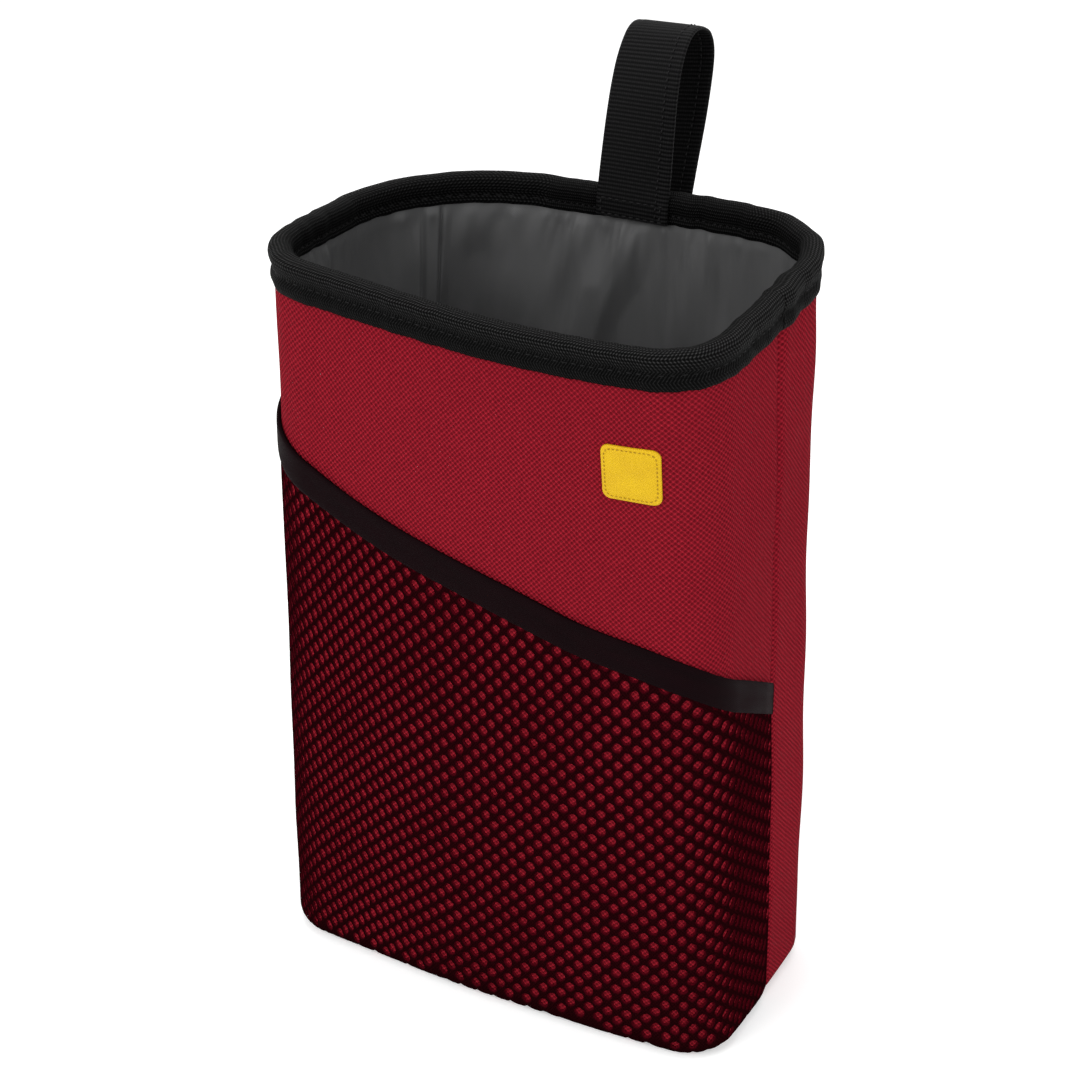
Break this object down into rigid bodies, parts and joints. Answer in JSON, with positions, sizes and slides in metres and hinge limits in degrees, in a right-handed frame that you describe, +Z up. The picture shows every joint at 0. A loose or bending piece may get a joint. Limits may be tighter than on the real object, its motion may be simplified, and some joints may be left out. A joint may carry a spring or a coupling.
{
  "type": "car trash bag",
  "caption": "Upright lined fabric bag with a bound open mouth, a webbing loop to hang it by, and a slanted mesh pocket on the front.",
  "frame": {"origin": "on the floor under the middle of the base", "axes": "+Z up through the mouth, -Y out of the front with the pocket, +X to the right of it"},
  "size_m": [0.1668, 0.1392, 0.3035],
  "materials": {
    "red_fabric": "woven, matt",
    "black_tape": "ribbed tape, soft sheen",
    "black_mesh": "openwork, soft sheen",
    "black_webbing": "ribbed webbing, soft sheen",
    "grey_lining": "smooth nylon, soft sheen",
    "foam": "closed-cell foam",
    "board": "plain sheet",
    "yellow_patch": "smooth, satin"
  },
  "bodies": {
    "root": {"front_panel": "red_fabric", "back_panel": "red_fabric", "base_panel": "red_fabric", "front_interlining": "foam", "back_interlining": "foam", "base_board": "board", "liner_wall": "grey_lining", "liner_floor": "grey_lining", "rim_binding": "black_tape", "mesh_pocket": "black_mesh", "pocket_binding": "black_tape", "strap_loop": "black_webbing", "label_patch": "yellow_patch"}
  },
  "joints": []
}
